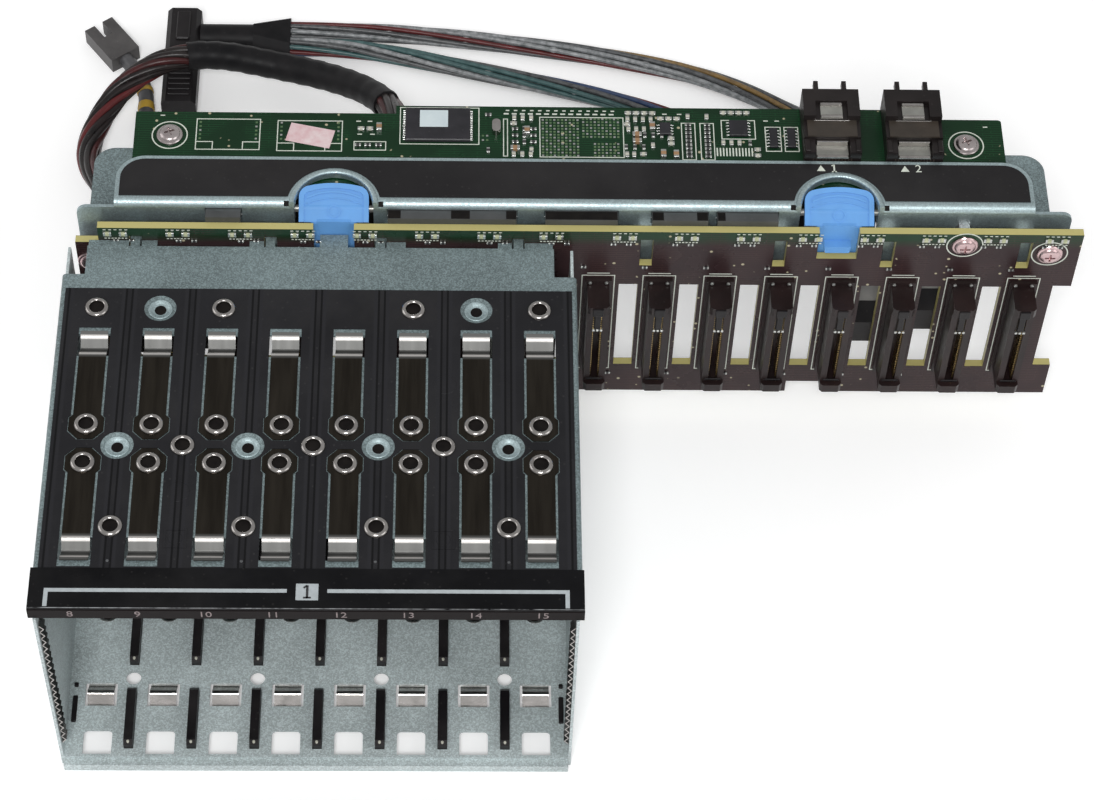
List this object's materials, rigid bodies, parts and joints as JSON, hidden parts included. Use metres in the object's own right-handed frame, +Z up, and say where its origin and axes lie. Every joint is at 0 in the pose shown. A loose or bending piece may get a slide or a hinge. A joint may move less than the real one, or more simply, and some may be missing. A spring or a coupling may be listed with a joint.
{
  "type": "hot swap drive cage",
  "caption": "Sheet-metal cage of upright drive bays with leaf springs, a wide hot-swap backplane, blue release latches, an expander board with rear ports and loose cables.",
  "frame": {"origin": "middle of the cage's front edge, on the underside that rests on the table", "axes": "+X to the right along the bays, +Y backwards into the bays towards the backplane, +Z up"},
  "size_m": [0.2967, 0.276, 0.0954],
  "materials": {
    "zinc_sheet": "zinc-plated, finely speckled",
    "black_film": "semi-gloss film",
    "spring_metal": "bright nickel",
    "bright_metal": "polished",
    "black_plastic": "moulded",
    "pale_plastic": "moulded",
    "board_brown": "lacquered board",
    "board_green": "lacquered board",
    "contact_metal": "gold-plated",
    "light_cream": "clear moulded",
    "latch_blue": "moulded",
    "cable_black": "woven sleeve",
    "cable_colours": "bundled coloured wires",
    "cable_grey": "smooth jacket"
  },
  "bodies": {
    "cage": {"angle_plug": "black_plastic", "backplane_board": "board_brown", "board_screws": "bright_metal", "board_standoffs": "bright_metal", "bridge_connectors": "pale_plastic", "cage_floor": "zinc_sheet", "connector_contacts": "contact_metal", "cover_film": "black_film", "cover_rivets": "bright_metal", "cover_springs_front": "spring_metal", "cover_springs_rear": "spring_metal", "crystal_can": "bright_metal", "drive_connectors": "black_plastic", "expander_board": "board_green", "expander_screws": "bright_metal", "expander_spacers": "bright_metal", "expander_tray": "zinc_sheet", "flat_plug": "cable_grey", "floor_springs": "spring_metal", "front_band": "black_film", "gasket_strip_left": "spring_metal", "gasket_strip_right": "spring_metal", "grey_cable": "cable_grey", "header_plugs": "pale_plastic", "lower_rails": "black_plastic", "memory_chip": "black_plastic", "pivot_pin_left": "bright_metal", "pivot_pin_right": "bright_metal", "port_clips": "spring_metal", "port_covers": "spring_metal", "port_housings": "black_plastic", "power_cable": "cable_black", "rear_bracket": "zinc_sheet", "rear_headers": "black_plastic", "shelf_film": "black_film", "side_wall_left": "zinc_sheet", "side_wall_right": "zinc_sheet", "signal_boot": "cable_black", "signal_cable_front": "cable_colours", "signal_cable_rear": "cable_colours", "signal_sleeve": "cable_black", "slot_lights": "light_cream", "spring_rivets": "bright_metal", "top_cover": "zinc_sheet", "upper_rails": "black_plastic"},
    "latch_left": {"release_latch_left": "latch_blue"},
    "latch_right": {"release_latch_right": "latch_blue"}
  },
  "joints": [
    {"name": "latch_left_pivot", "type": "hinge", "parent": "cage", "child": "latch_left", "pos_m": [0.0035, 0.12916, 0.0845], "axis": [1, 0, 0], "range_deg": [0, 20], "stiffness_Nm_per_rad": 0.01, "springref_deg": -2.86},
    {"name": "latch_right_pivot", "type": "hinge", "parent": "cage", "child": "latch_right", "pos_m": [0.1445, 0.12916, 0.0845], "axis": [1, 0, 0], "range_deg": [0, 20], "stiffness_Nm_per_rad": 0.01, "springref_deg": -2.86}
  ]
}
